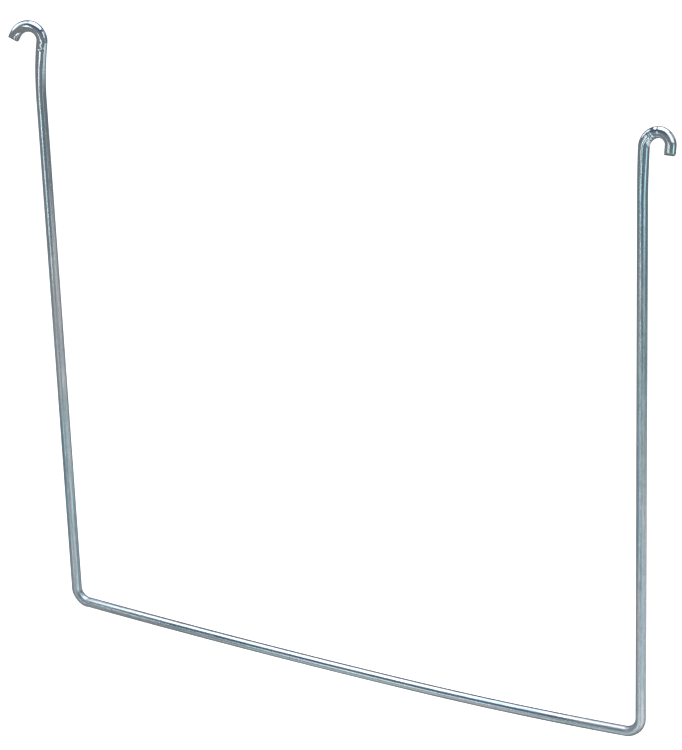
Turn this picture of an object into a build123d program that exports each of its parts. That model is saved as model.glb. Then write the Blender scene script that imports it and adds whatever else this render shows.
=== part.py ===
"""Frame grip: one bent steel wire, a wide U whose two legs end in hooks that curl outward.

Millimetres, +Z up, +X to the right across the U, +Y to the back. The whole wire lies in the
plane Y = 0. The origin is midway between the legs, level with the undersides of the two hook
crowns, which is the line that the wire hangs from.

The wire is modelled as the stretches that its bends divide it into, which meet face to face.
"""

import os
from dataclasses import dataclass
from math import asin, degrees, radians, sin, tan

from build123d import *

# Driving dimensions. All bend radii are to the wire's centreline.

wire_diameter = 4.76
leg_spacing = 298.0  # between the corners, where the leg and crossbar centrelines meet
hang_depth = 282.5  # from the hang line down to the corners of the crossbar's centreline
leg_splay = 0.58  # each leg opens outward this much

bar_sag = 3.5  # how far the crossbar bows down below the corners
bar_low_x = 34.0  # its lowest point is this far right of the middle

hook_thickness = 4.3  # bending squeezed the wire in the hooks: thinner across their plane
cut_bevel = 45.0  # each end is nipped to a ridge by two bevels at this angle to the wire
cut_twist = 18.0  # and the ridge is turned this far about the wire, out of the hook's plane


@dataclass
class Side:
    """One half of the wire, from the crossbar's lowest point out to the tip.

    Turns are in degrees. A direction's turn is measured from straight up towards the outside
    of the U, so 180 points straight down.
    """

    plane: Plane  # X outward, Y up
    bar_start: float  # the crossbar's lowest point, along the plane's X
    bend_radius: float  # at the foot of the leg
    neck_radius: float  # below its hook, the leg leans over in a long gentle curve
    neck_turn: float  # by this much, outward if positive
    shoulder_radius: float  # the hook's first bend
    shoulder_turn: float
    curl_radius: float  # and its second, which leads over the crown to the tip
    tip_turn: float
    tail: float  # straight end beyond the curl
    hook_width: float  # in the plane of the U, wider than the round wire


sides = {
    "left": Side(
        plane=Plane((0, 0, 0), x_dir=(-1, 0, 0), z_dir=(0, 1, 0)),
        bar_start=-bar_low_x,
        bend_radius=6.5,
        neck_radius=153.0,
        neck_turn=-10.3,
        shoulder_radius=5.7,
        shoulder_turn=86.6,
        curl_radius=9.3,
        tip_turn=150.4,
        tail=3.5,
        hook_width=5.4,
    ),
    "right": Side(
        plane=Plane.XZ,
        bar_start=bar_low_x,
        bend_radius=8.2,
        neck_radius=540.0,
        neck_turn=2.5,
        shoulder_radius=8.7,
        shoulder_turn=74.8,
        curl_radius=4.8,
        tip_turn=185.0,
        tail=4.6,
        hook_width=5.2,
    ),
}

# Worked out from those.

wire_radius = wire_diameter / 2
bar_low_z = -hang_depth - bar_sag
nip_depth = hook_thickness / tan(radians(cut_bevel))


def climb(radius, start_turn, end_turn):
    """Height gained along a bend between two directions."""
    return radius * abs(sin(radians(end_turn)) - sin(radians(start_turn)))


def leg_top(side):
    """Height of the leg's upper end, which puts the underside of the hook's crown at zero."""
    neck_end = leg_splay + side.neck_turn
    crown = side.hook_width / 2
    crown -= climb(side.curl_radius, side.shoulder_turn, 90)
    crown -= climb(side.shoulder_radius, neck_end, side.shoulder_turn)
    return crown - climb(side.neck_radius, leg_splay, neck_end)


def bend_on(start, radius, turn):
    """Arc that carries on from the end of start and bends outward by turn."""
    return JernArc(
        start=start @ 1, tangent=start % 1, radius=radius, arc_size=-turn
    )


def run_on(start, length):
    """Straight run that carries on from the end of start."""
    return Line(start @ 1, start @ 1 + (start % 1) * length)


def draw(side):
    """The centreline of one side, stretch by stretch, drawn in its own plane."""
    corner_run = leg_spacing / 2 - side.bar_start
    bar_radius = (corner_run**2 + bar_sag**2) / (2 * bar_sag)
    bar_turn = degrees(asin((corner_run - side.bend_radius) / bar_radius))
    neck_end = leg_splay + side.neck_turn
    with BuildLine(side.plane) as centreline:
        bar = JernArc(
            start=(side.bar_start, bar_low_z),
            tangent=(1, 0),
            radius=bar_radius,
            arc_size=bar_turn,
        )
        bend = bend_on(bar, side.bend_radius, leg_splay + bar_turn - 90)
        leg = run_on(bend, (leg_top(side) - (bend @ 1).Z) / (bend % 1).Z)
        neck = bend_on(leg, side.neck_radius, side.neck_turn)
        shoulder = bend_on(neck, side.shoulder_radius, side.shoulder_turn - neck_end)
        curl = bend_on(shoulder, side.curl_radius, side.tip_turn - side.shoulder_turn)
        tail = run_on(curl, side.tail)
    return bar, bend, leg, neck, shoulder, curl, tail


def across(line, end):
    """Plane square to a line at its start (0) or end (1), with its own X along +Y."""
    return Plane(origin=line @ end, x_dir=(0, 1, 0), z_dir=line % end)


def along(tail):
    """Plane at a tip that holds its wire's line, as its own Y, and lies square to the ridge."""
    way = tail % 1
    square_on = Vector(0, 1, 0).rotate(Axis(tail @ 1, way), -cut_twist)
    return Plane(origin=tail @ 1, x_dir=square_on, z_dir=square_on.cross(way))


def hand_over(stretch, name):
    """Label a finished stretch and write it as its own node."""
    stretch.part.label = name
    export_step(stretch.part, f"parts/{name}.step")


os.makedirs("parts", exist_ok=True)

for side_name, side in sides.items():
    bar, bend, leg, neck, shoulder, curl, tail = draw(side)

    # The round stretches: half the crossbar, the bend at its end, and the leg.
    for stretch_name, line in {"crossbar": bar, "bend": bend, "leg": leg}.items():
        with BuildPart() as stretch:
            with BuildSketch(across(line, 0)):
                Circle(wire_radius)
            sweep(path=line)
        hand_over(stretch, f"{side_name}_{stretch_name}")

    # The neck, where the section goes over from round to the hook's oval.
    with BuildPart() as neck_stretch:
        with BuildSketch(across(neck, 0)) as leg_section:
            Circle(wire_radius)
        with BuildSketch(across(neck, 1)) as hook_section:
            Ellipse(hook_thickness / 2, side.hook_width / 2)
        sweep([leg_section.sketch, hook_section.sketch], path=neck, multisection=True)
    hand_over(neck_stretch, f"{side_name}_neck")

    # The hook, nipped to a ridge at its tip.
    with BuildPart() as hook:
        with BuildSketch(across(shoulder, 0)):
            Ellipse(hook_thickness / 2, side.hook_width / 2)
        sweep(path=Wire([line.edge() for line in (shoulder, curl, tail)]))
        with BuildSketch(along(tail)):
            Polygon((0, 0), (hook_thickness, nip_depth), (hook_thickness, -nip_depth), align=None)
            mirror(about=Plane.YZ)
        extrude(amount=side.hook_width, both=True, mode=Mode.SUBTRACT)
    hand_over(hook, f"{side_name}_hook")
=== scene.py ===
"""Looks of the frame grip: one bright zinc-plated wire, bent by hand tools and nipped off.

Metres, in the frame of the CAD model: +Z up, +X to the right across the U, +Y to the back.
The wire is worked out as one surface, ring by ring from the left tip to the right tip, and
then divided into one closed piece for each CAD node, which it replaces.
"""

from math import asin, cos, degrees, pi, radians, sin

import bpy
import numpy as np
from mathutils import Matrix, Vector


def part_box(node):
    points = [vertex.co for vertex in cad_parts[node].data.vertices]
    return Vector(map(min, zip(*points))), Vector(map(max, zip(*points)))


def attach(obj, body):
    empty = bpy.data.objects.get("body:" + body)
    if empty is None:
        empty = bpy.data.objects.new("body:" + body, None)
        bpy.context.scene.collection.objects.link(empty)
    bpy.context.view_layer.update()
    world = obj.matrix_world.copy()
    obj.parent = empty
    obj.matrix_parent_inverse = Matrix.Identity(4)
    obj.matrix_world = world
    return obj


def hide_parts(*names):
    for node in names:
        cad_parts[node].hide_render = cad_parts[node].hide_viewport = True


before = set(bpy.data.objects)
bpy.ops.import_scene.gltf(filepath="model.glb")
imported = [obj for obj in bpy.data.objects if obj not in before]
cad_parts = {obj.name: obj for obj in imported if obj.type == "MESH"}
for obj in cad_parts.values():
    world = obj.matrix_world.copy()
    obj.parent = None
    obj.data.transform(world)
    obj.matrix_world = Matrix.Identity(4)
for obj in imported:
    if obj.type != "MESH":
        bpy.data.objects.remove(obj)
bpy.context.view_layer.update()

# The wire's route, in millimetres and degrees, as the CAD model has it. A direction's turn is
# measured from straight up towards the outside of the U, so 180 points straight down.

leg_spacing = 298.0
hang_depth = 282.5
leg_splay = 0.58
bar_sag = 3.5
bar_low_x = 34.0
bend_radius = {"left": 6.5, "right": 8.2}
neck_radius = {"left": 153.0, "right": 540.0}
neck_turn = {"left": -10.3, "right": 2.5}
shoulder_radius = {"left": 5.7, "right": 8.7}
shoulder_turn = {"left": 86.6, "right": 74.8}
curl_radius = {"left": 9.3, "right": 4.8}
tip_turn = {"left": 150.4, "right": 185.0}
tail = {"left": 3.5, "right": 4.6}
cut_twist = 18.0  # each end's nipped ridge is turned this far about the wire
ridge_half_thickness = 0.12
ridge_rounding = 0.08
fully_cut = 0.12  # where the cutter pressed this deep, no plate is left
wear_reach = 1.5  # each tip is worn round on its right-hand side, over this length
wear_share = 0.3  # and by this share of the wire's half width, at the very tip
uneven_wear = 6  # the left-hand side is worn this many times less
beyond_wire = 10  # a limit that no point of the wire reaches

low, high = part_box("left_leg")
wire_radius = (high.y - low.y) / 2 * 1000

# Marks that the bending tool left, each a shallow hollow, or a swelling where its depth is
# negative: side, distance from the tip, place round the wire (0 faces into the hook, and out of
# the corner, and -90 the front), spread along the wire, spread round it in degrees, and depth.

tool_marks = [
    ("left", 26.0, -97, 0.55, 22, 0.17),
    ("left", 23.4, -97, 0.8, 26, 0.14),
    ("left", 21.4, -20, 0.4, 40, 0.06),
    ("left", 19.6, -30, 0.4, 40, 0.07),
    ("left", 17.5, -20, 0.5, 45, 0.06),
    ("left", 14.6, -40, 0.6, 40, 0.05),
    ("left", 297.8, 0, 1.0, 34, -0.2),
    ("left", 303.8, 0, 1.4, 34, -0.45),
    ("left", 305.6, -135, 0.5, 32, 0.12),
    ("right", 13.5, -150, 0.4, 55, 0.16),
    ("right", 14.4, -110, 0.4, 30, 0.08),
    ("right", 17.2, -104, 0.4, 28, 0.10),
    ("right", 15.4, -35, 0.35, 40, 0.07),
    ("right", 17.0, -30, 0.35, 40, 0.08),
    ("right", 18.7, -30, 0.35, 40, 0.07),
]

around = 64  # points in each ring


def hook_size(side):
    """Half the hook's width and thickness. The hang line is at the underside of its crown."""
    low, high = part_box(side + "_hook")
    return high.z * 1000 / 2, (high.y - low.y) / 2 * 1000


def climb(radius, start_turn, end_turn):
    """Height gained along a bend between two directions."""
    return radius * abs(sin(radians(end_turn)) - sin(radians(start_turn)))


def route(side):
    """Node, length and turns of one side's stretches, from the crossbar's lowest point out."""
    corner_run = leg_spacing / 2 + (bar_low_x if side == "left" else -bar_low_x)
    bar_radius = (corner_run**2 + bar_sag**2) / (2 * bar_sag)
    bar_turn = degrees(asin((corner_run - bend_radius[side]) / bar_radius))
    bar_end = 90 - bar_turn
    foot_z = bar_radius * (1 - cos(radians(bar_turn))) - hang_depth - bar_sag
    foot_z += bend_radius[side] * (cos(radians(bar_turn)) - sin(radians(leg_splay)))
    lean = leg_splay + neck_turn[side]
    top_z = hook_size(side)[0] - climb(curl_radius[side], shoulder_turn[side], 90)
    top_z -= climb(shoulder_radius[side], lean, shoulder_turn[side])
    top_z -= climb(neck_radius[side], leg_splay, lean)
    leg_run = (top_z - foot_z) / cos(radians(leg_splay))

    def arc(stretch, radius, start, end):
        return side + stretch, radius * radians(abs(end - start)), start, end

    return [
        arc("_crossbar", bar_radius, 90, bar_end),
        arc("_bend", bend_radius[side], bar_end, leg_splay),
        (side + "_leg", leg_run, leg_splay, leg_splay),
        arc("_neck", neck_radius[side], leg_splay, lean),
        arc("_hook", shoulder_radius[side], lean, shoulder_turn[side]),
        arc("_hook", curl_radius[side], shoulder_turn[side], tip_turn[side]),
        (side + "_hook", tail[side], tip_turn[side], tip_turn[side]),
    ]


def spacing(node, to_tip):
    """How far apart the rings are: close in the bends and hooks, closest in the nipped tips."""
    if "hook" in node:
        return 0.09 if to_tip < 3.2 else 0.2
    if "neck" in node:
        return 0.2
    return 0.3 if "bend" in node else 1.0


def follow(side):
    """Rings along one side: distance run, place in the plane and turn, and each node's rings."""
    outward = -1 if side == "left" else 1
    place = np.array([bar_low_x, -hang_depth - bar_sag])
    parts = route(side)
    total = sum(length for _, length, _, _ in parts)
    run = [np.zeros(1)]
    where = [place[None, :]]
    turns = [np.array([90.0])]
    ends = {}
    done = 0.0
    for node, length, start, end in parts:
        steps = max(4, round(length / spacing(node, total - done - length)))
        share = np.linspace(0, 1, steps + 1)[1:]
        turn = np.radians(start + (end - start) * share)
        if abs(end - start) < 1e-6:
            step = (length * share)[:, None] * np.array([outward * sin(turn[0]), cos(turn[0])])
        else:
            radius = length / radians(end - start)
            first = radians(start)
            step = radius * np.stack(
                [outward * (cos(first) - np.cos(turn)), np.sin(turn) - sin(first)], axis=1
            )
        first_ring = sum(len(r) for r in run) - 1
        run.append(done + length * share)
        where.append(place + step)
        turns.append(np.degrees(turn))
        place = where[-1][-1]
        done += length
        known = ends.get(node, (first_ring, None))[0]
        ends[node] = (known, first_ring + steps)
    return np.concatenate(run), np.concatenate(where), np.concatenate(turns), ends


def smooth(x):
    """0 below 0, 1 above 1, and an S-curve between."""
    x = np.clip(x, 0, 1)
    return x * x * (3 - 2 * x)


def soft_clamp(value, limit, rounding):
    """value held within plus and minus limit, with rounded shoulders."""
    over = np.abs(value) - limit
    eased = (over + np.sqrt(over**2 + rounding**2)) / 2
    return np.sign(value) * np.maximum(np.abs(value) - eased, 0)


def hollowed(side, to_tip, angle):
    """How deep the tool marks are at each point of the rings."""
    depth = np.zeros((len(to_tip), around))
    for mark_side, place, facing, length, spread, deepest in tool_marks:
        if mark_side == side:
            round_it = (np.degrees(angle) - facing + 180) % 360 - 180
            along_it = (to_tip[:, None] - place) / length
            depth += deepest * np.exp(-(along_it**2) / 2 - (round_it / spread) ** 2 / 2)
    return depth


def nip(in_plane, across, to_tip, outward):
    """Press the rings near the tip to a ridge, between two bevels that the cutter left."""
    worn = np.clip(1 - to_tip / wear_reach, 0, 1) ** 2 * wear_share
    worn = np.where(in_plane * outward < 0, worn, worn / uneven_wear)
    in_plane = in_plane * (1 - worn)
    twist = radians(cut_twist)
    reach = across * cos(twist) + in_plane * sin(twist) * outward
    limit = np.minimum(to_tip + ridge_half_thickness, beyond_wire)
    pressed = soft_clamp(reach, limit, ridge_rounding) - reach
    in_plane = in_plane + pressed * sin(twist) * outward
    across = across + pressed * cos(twist)
    return in_plane, across, smooth(np.abs(pressed) / fully_cut)


def side_surface(side):
    """One side's points, their places before bending, how cut they are, and each node's rings."""
    run, where, turns, ends = follow(side)
    outward = -1 if side == "left" else 1
    neck_start, neck_end = (run[i] for i in ends[side + "_neck"])
    to_tip = run[-1] - run
    hook_half_width, hook_half_thickness = hook_size(side)
    squeezed = smooth((run - neck_start) / (neck_end - neck_start))
    half_width = wire_radius + (hook_half_width - wire_radius) * squeezed
    half_thickness = wire_radius + (hook_half_thickness - wire_radius) * squeezed
    angle = np.linspace(0, 2 * pi, around, endpoint=False)
    hollow = hollowed(side, to_tip, angle)
    in_plane = (half_width[:, None] - hollow) * np.cos(angle)
    across = (half_thickness[:, None] - np.maximum(hollow, 0)) * np.sin(angle)
    in_plane, across, cut = nip(in_plane, across, to_tip[:, None], outward)
    turn = np.radians(turns)
    normal = np.stack([outward * np.cos(turn), -np.sin(turn)], axis=1)
    points = np.zeros((len(run), around, 3))
    points[..., 0] = where[:, None, 0] + normal[:, None, 0] * in_plane
    points[..., 1] = across
    points[..., 2] = where[:, None, 1] + normal[:, None, 1] * in_plane
    along = np.broadcast_to(outward * run[:, None], in_plane.shape)
    unbent = np.stack([in_plane, across, along], axis=2)
    return points, unbent, cut, ends


def whole_wire():
    """Both sides joined into one run of rings, left tip first, and each node's rings."""
    left, left_unbent, left_cut, left_ends = side_surface("left")
    right, right_unbent, right_cut, right_ends = side_surface("right")
    last = len(left) - 1
    points = np.concatenate([left[::-1], right[1:]])
    unbent = np.concatenate([left_unbent[::-1], right_unbent[1:]])
    cut = np.concatenate([left_cut[::-1], right_cut[1:]])
    ends = {node: (last - b, last - a) for node, (a, b) in left_ends.items()}
    ends.update({node: (last + a, last + b) for node, (a, b) in right_ends.items()})
    return points / 1000, unbent, cut, ends


def surface_normals(points):
    """Unit normals of the whole run of rings, so that pieces shade on into each other."""
    along = np.gradient(points, axis=0)
    round_it = np.roll(points, -1, axis=1) - np.roll(points, 1, axis=1)
    normals = np.cross(along, round_it)
    return normals / np.linalg.norm(normals, axis=2, keepdims=True)


def wire_piece(node, points, normals, unbent, cut, material):
    """One closed piece of the wire, between two of its rings."""
    rings = len(points)
    index = np.arange(rings * around).reshape(rings, around)
    next_index = np.roll(index, -1, axis=1)
    sides = np.stack([index[:-1], index[1:], next_index[1:], next_index[:-1]], axis=-1)
    sides = sides.reshape(-1, 4)
    faces = [tuple(int(i) for i in face) for face in sides]
    faces.append(tuple(int(i) for i in index[0]))
    faces.append(tuple(int(i) for i in index[-1][::-1]))
    mesh = bpy.data.meshes.new(node + "_plated")
    mesh.from_pydata([tuple(p) for p in points.reshape(-1, 3)], [], faces)
    mesh.polygons.foreach_set("use_smooth", [True] * len(mesh.polygons))
    place = mesh.attributes.new("unbent", "FLOAT_VECTOR", "POINT")
    place.data.foreach_set("vector", unbent.reshape(-1).astype(np.float32))
    sheared = mesh.attributes.new("cut", "FLOAT", "POINT")
    sheared.data.foreach_set("value", cut.reshape(-1).astype(np.float32))
    mesh.materials.append(material)
    flat = normals.reshape(-1, 3)
    loop_normals = []
    for face in mesh.polygons:
        if len(face.vertices) == 4:
            loop_normals += [tuple(flat[v]) for v in face.vertices]
        else:
            loop_normals += [tuple(face.normal)] * len(face.vertices)
    mesh.normals_split_custom_set(loop_normals)
    piece = bpy.data.objects.new(node + "_plated", mesh)
    bpy.context.scene.collection.objects.link(piece)
    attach(piece, "root")
    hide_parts(node)


def grey(value):
    return (value, value, value)


def ramp(tree, source, stops):
    """Colours that follow a value."""
    node = tree.nodes.new("ShaderNodeValToRGB")
    while len(node.color_ramp.elements) < len(stops):
        node.color_ramp.elements.new(0.5)
    for element, (position, colour) in zip(node.color_ramp.elements, stops):
        element.position = position
        element.color = (*colour, 1)
    tree.links.new(source, node.inputs["Fac"])
    return node.outputs["Color"]


def mix(tree, kind, share, first, second):
    """Two colours mixed, or multiplied, by a share."""
    node = tree.nodes.new("ShaderNodeMix")
    node.data_type = "RGBA"
    node.blend_type = kind
    sockets = (node.inputs[0], node.inputs[6], node.inputs[7])
    for socket, value in zip(sockets, (share, first, second)):
        if isinstance(value, bpy.types.NodeSocket):
            tree.links.new(value, socket)
        else:
            socket.default_value = value
    return node.outputs[2]


def zinc_plate():
    """Bright zinc over drawn wire: draw lines, a faint tint, duller down the legs."""
    material = bpy.data.materials.new("zinc_plate")
    material.use_nodes = True
    tree = material.node_tree
    nodes = tree.nodes
    links = tree.links
    shader = nodes["Principled BSDF"]
    shader.inputs["Metallic"].default_value = 1.0
    place = nodes.new("ShaderNodeAttribute")
    place.attribute_name = "unbent"
    cut = nodes.new("ShaderNodeAttribute")
    cut.attribute_name = "cut"

    def noise(scale, detail=2.0, roughness=0.5):
        """A noise texture over the unbent wire, with its own scale across and along."""
        mapping = nodes.new("ShaderNodeMapping")
        mapping.inputs["Scale"].default_value = scale
        texture = nodes.new("ShaderNodeTexNoise")
        texture.inputs["Scale"].default_value = 1.0
        texture.inputs["Detail"].default_value = detail
        texture.inputs["Roughness"].default_value = roughness
        links.new(place.outputs["Vector"], mapping.inputs["Vector"])
        links.new(mapping.outputs["Vector"], texture.inputs["Vector"])
        return texture.outputs["Fac"]

    split = nodes.new("ShaderNodeSeparateXYZ")
    links.new(place.outputs["Vector"], split.inputs["Vector"])
    farthest = 500  # neither tip is as far as this from the crossbar's lowest point
    along = nodes.new("ShaderNodeMapRange")
    along.inputs["From Min"].default_value = -farthest
    along.inputs["From Max"].default_value = farthest
    links.new(split.outputs["Z"], along.inputs["Value"])

    def at(run):
        """Where a distance run from the crossbar's lowest point falls on a ramp."""
        return (run + farthest) / (2 * farthest)

    tint = ramp(
        tree,
        noise((0.8, 0.8, 0.010), 3.0),
        [
            (0.32, (0.56, 0.66, 0.80)),
            (0.43, (0.60, 0.75, 0.76)),
            (0.52, (0.76, 0.78, 0.78)),
            (0.60, (0.72, 0.71, 0.76)),
            (0.70, (0.80, 0.76, 0.71)),
        ],
    )
    mottle = ramp(tree, noise((1.4, 1.4, 0.25), 3.0), [(0.35, grey(0.84)), (0.65, grey(1.0))])
    streaks = ramp(
        tree,
        noise((1.5, 1.5, 0.011), 2.0),
        [(0.33, (0.58, 0.70, 0.82)), (0.41, (0.92, 0.95, 0.97)), (0.5, grey(1.0))],
    )
    grain = ramp(tree, noise((2.4, 2.4, 1.6), 2.0), [(0.35, grey(0.83)), (0.62, grey(1.0))])
    coloured = mix(tree, "MULTIPLY", 1.0, tint, streaks)
    mottled = mix(tree, "MULTIPLY", 1.0, mottle, grain)
    plated = mix(tree, "MULTIPLY", 1.0, coloured, mottled)
    sheared = mix(tree, "MIX", cut.outputs["Fac"], plated, (0.42, 0.44, 0.43, 1))
    links.new(sheared, shader.inputs["Base Color"])

    dullness = ramp(
        tree,
        along.outputs["Result"],
        [
            (at(-440), grey(0.12)),
            (at(-395), grey(0.16)),
            (at(-330), grey(0.40)),
            (at(-190), grey(0.40)),
            (at(-120), grey(0.18)),
            (at(60), grey(0.18)),
            (at(112), grey(0.42)),
            (at(190), grey(0.42)),
            (at(330), grey(0.28)),
            (at(380), grey(0.12)),
        ],
    )
    patches = ramp(tree, noise((1.0, 1.0, 0.06), 3.0), [(0.35, grey(0.8)), (0.7, grey(1.35))])
    dulled = mix(tree, "MULTIPLY", 1.0, dullness, patches)
    roughness = mix(tree, "MIX", cut.outputs["Fac"], dulled, (0.5, 0.5, 0.5, 1))
    links.new(roughness, shader.inputs["Roughness"])

    draw_lines = nodes.new("ShaderNodeBump")
    draw_lines.inputs["Strength"].default_value = 0.5
    draw_lines.inputs["Distance"].default_value = 0.00005
    links.new(noise((2.4, 2.4, 0.015), 3.0), draw_lines.inputs["Height"])
    peel = nodes.new("ShaderNodeBump")
    peel.inputs["Strength"].default_value = 0.3
    peel.inputs["Distance"].default_value = 0.00002
    links.new(noise((1.0, 1.0, 0.4), 1.0), peel.inputs["Height"])
    links.new(draw_lines.outputs["Normal"], peel.inputs["Normal"])
    links.new(peel.outputs["Normal"], shader.inputs["Normal"])
    return material


def direction(azimuth, elevation):
    """Unit vector towards an azimuth, 0 at the front and 90 to the right, and an elevation."""
    a = radians(azimuth)
    e = radians(elevation)
    return Vector((sin(a) * cos(e), -cos(a) * cos(e), sin(e)))


view_azimuth = 31.006
view_elevation = 23.721
view_roll = -2.064
view_distance = 1.98589
view_aim = Vector((0, 0, -0.141))
view_right = 0.000638  # the picture's centre lies this far right of the aim
view_up = 0.002601  # and this far above it
lens = 214.5
sensor_width = 36


def photograph_camera():
    """A long lens from the front right and above."""
    back = direction(view_azimuth, view_elevation)
    level = Vector((cos(radians(view_azimuth)), sin(radians(view_azimuth)), 0))
    upright = back.cross(level)
    roll = radians(view_roll)
    right = level * cos(roll) + upright * sin(roll)
    up = upright * cos(roll) - level * sin(roll)
    data = bpy.data.cameras.new("camera")
    data.sensor_width = sensor_width
    data.lens = lens
    camera = bpy.data.objects.new("camera", data)
    camera.matrix_world = Matrix((right, up, back)).transposed().to_4x4()
    camera.location = view_aim + back * view_distance + right * view_right + up * view_up
    bpy.context.scene.collection.objects.link(camera)
    bpy.context.scene.camera = camera


def floor():
    """A plain pale floor, well below the hanging grip."""
    z = -0.62
    size = 30
    mesh = bpy.data.meshes.new("floor")
    corners = [(-size, -size, z), (size, -size, z), (size, size, z), (-size, size, z)]
    mesh.from_pydata(corners, [], [(0, 1, 2, 3)])
    material = bpy.data.materials.new("floor")
    material.use_nodes = True
    shader = material.node_tree.nodes["Principled BSDF"]
    shader.inputs["Base Color"].default_value = (0.9, 0.9, 0.9, 1)
    shader.inputs["Roughness"].default_value = 1.0
    shader.inputs["Emission Color"].default_value = (1, 1, 1, 1)
    shader.inputs["Emission Strength"].default_value = 0.9
    mesh.materials.append(material)
    piece = bpy.data.objects.new("floor", mesh)
    piece.visible_glossy = False
    piece.visible_shadow = False
    bpy.context.scene.collection.objects.link(piece)


left_hook = (-0.155, 0, 0)
right_hook = (0.155, 0, 0)
right_corner = (0.15, 0, -0.27)
bar_z = -(hang_depth + bar_sag) / 1000
white = (1, 1, 1)

# Name, what it is aimed at, direction from there, distance, width, height, strength and colour.

soft_lights = [
    ("overhead", (-0.05, 0.02, bar_z), Vector((0, 0, 1)), 1.2, 1.4, 1.36, 2.0, white),
    ("left_card", left_hook, direction(-78, 26), 0.35, 0.26, 0.34, 1.6, white),
    ("right_card", right_hook, direction(62, 30), 0.3, 0.32, 0.36, 1.5, white),
    ("right_low_card", right_hook, direction(70, -21), 0.3, 0.14, 0.15, 0.85, (0.62, 1.0, 0.97)),
    ("strip", view_aim, direction(-10, -36.5), 3.0, 0.22, 2.2, 4.0, (0.80, 0.95, 1.0)),
    ("teal_strip", view_aim, direction(66, -24), 2.0, 0.26, 0.8, 0.85, (0.55, 1.0, 0.95)),
    ("corner_card", right_corner, direction(48, -38), 0.35, 0.60, 0.26, 0.9, (1.0, 1.0, 0.94)),
    ("far_corner_card", right_corner, direction(132, -25), 0.4, 0.45, 0.22, 0.6, white),
    ("bar_card", (0.05, 0, bar_z), direction(-35, -38), 0.28, 0.26, 0.2, 0.32, (0.98, 1.0, 0.96)),
    ("front_card", (0.07, 0, bar_z), direction(-29, 0), 1.0, 0.16, 0.3, 1.5, white),
    ("hook_card", left_hook, direction(-33, -1), 1.2, 0.15, 0.24, 3.4, (0.84, 0.96, 1.0)),
    ("back_card", view_aim, direction(130, 28), 2.0, 1.8, 1.0, 0.42, (0.95, 1.0, 0.97)),
]


def softbox(name, aim, towards, distance, width, height, strength, colour):
    """A rectangular soft light, a distance from what it is aimed at, which it faces."""
    data = bpy.data.lights.new(name, "AREA")
    data.shape = "RECTANGLE"
    data.size = width
    data.size_y = height
    data.color = colour
    data.energy = strength * width * height * pi
    lamp = bpy.data.objects.new(name, data)
    lamp.location = Vector(aim) + towards * distance
    lamp.rotation_mode = "QUATERNION"
    lamp.rotation_quaternion = towards.to_track_quat("Z", "Y")
    lamp.visible_camera = False
    bpy.context.scene.collection.objects.link(lamp)


def room():
    """A white backdrop. The wire reflects pale above, a dark blue band in front, grey below."""
    world = bpy.data.worlds.new("room")
    world.use_nodes = True
    tree = world.node_tree
    nodes = tree.nodes
    links = tree.links
    place = nodes.new("ShaderNodeTexCoord")
    split = nodes.new("ShaderNodeSeparateXYZ")
    links.new(place.outputs["Generated"], split.inputs["Vector"])

    def across_sky(socket, stops):
        """Colours that follow one coordinate of the direction, from -1 to 1."""
        reach = nodes.new("ShaderNodeMapRange")
        reach.inputs["From Min"].default_value = -1
        links.new(split.outputs[socket], reach.inputs["Value"])
        placed = [((coordinate + 1) / 2, colour) for coordinate, colour in stops]
        return ramp(tree, reach.outputs["Result"], placed)

    rising = [
        (-1.0, (0.27, 0.29, 0.30)),
        (-0.7, (0.28, 0.30, 0.31)),
        (-0.4, (0.28, 0.30, 0.32)),
        (0.0, (0.27, 0.29, 0.31)),
        (0.2, (0.23, 0.27, 0.31)),
        (0.4, (0.09, 0.15, 0.24)),
        (0.62, (0.09, 0.15, 0.24)),
        (0.8, (0.36, 0.36, 0.36)),
        (1.0, (0.8, 0.8, 0.8)),
    ]
    sideways = [
        (-1.0, (1.0, 1.0, 1.0)),
        (0.3, (0.95, 0.95, 0.97)),
        (0.75, (0.71, 0.76, 0.81)),
        (1.0, (0.71, 0.76, 0.81)),
    ]
    both = mix(tree, "MULTIPLY", 1.0, across_sky("Z", rising), across_sky("X", sideways))
    links.new(both, nodes["Background"].inputs["Color"])
    backdrop = nodes.new("ShaderNodeBackground")
    backdrop.inputs["Color"].default_value = (1, 1, 1, 1)
    path = nodes.new("ShaderNodeLightPath")
    shown = nodes.new("ShaderNodeMixShader")
    links.new(path.outputs["Is Camera Ray"], shown.inputs[0])
    links.new(nodes["Background"].outputs[0], shown.inputs[1])
    links.new(backdrop.outputs[0], shown.inputs[2])
    links.new(shown.outputs[0], nodes["World Output"].inputs["Surface"])
    bpy.context.scene.world = world


def build_wire():
    """Every piece of the wire, in the order of the rings."""
    points, unbent, cut, ends = whole_wire()
    normals = surface_normals(points)
    material = zinc_plate()
    for node, (first, last) in ends.items():
        rings = slice(first, last + 1)
        wire_piece(node, points[rings], normals[rings], unbent[rings], cut[rings], material)


build_wire()
floor()
room()
photograph_camera()
for soft_light in soft_lights:
    softbox(*soft_light)
bpy.context.scene.view_settings.view_transform = "Standard"
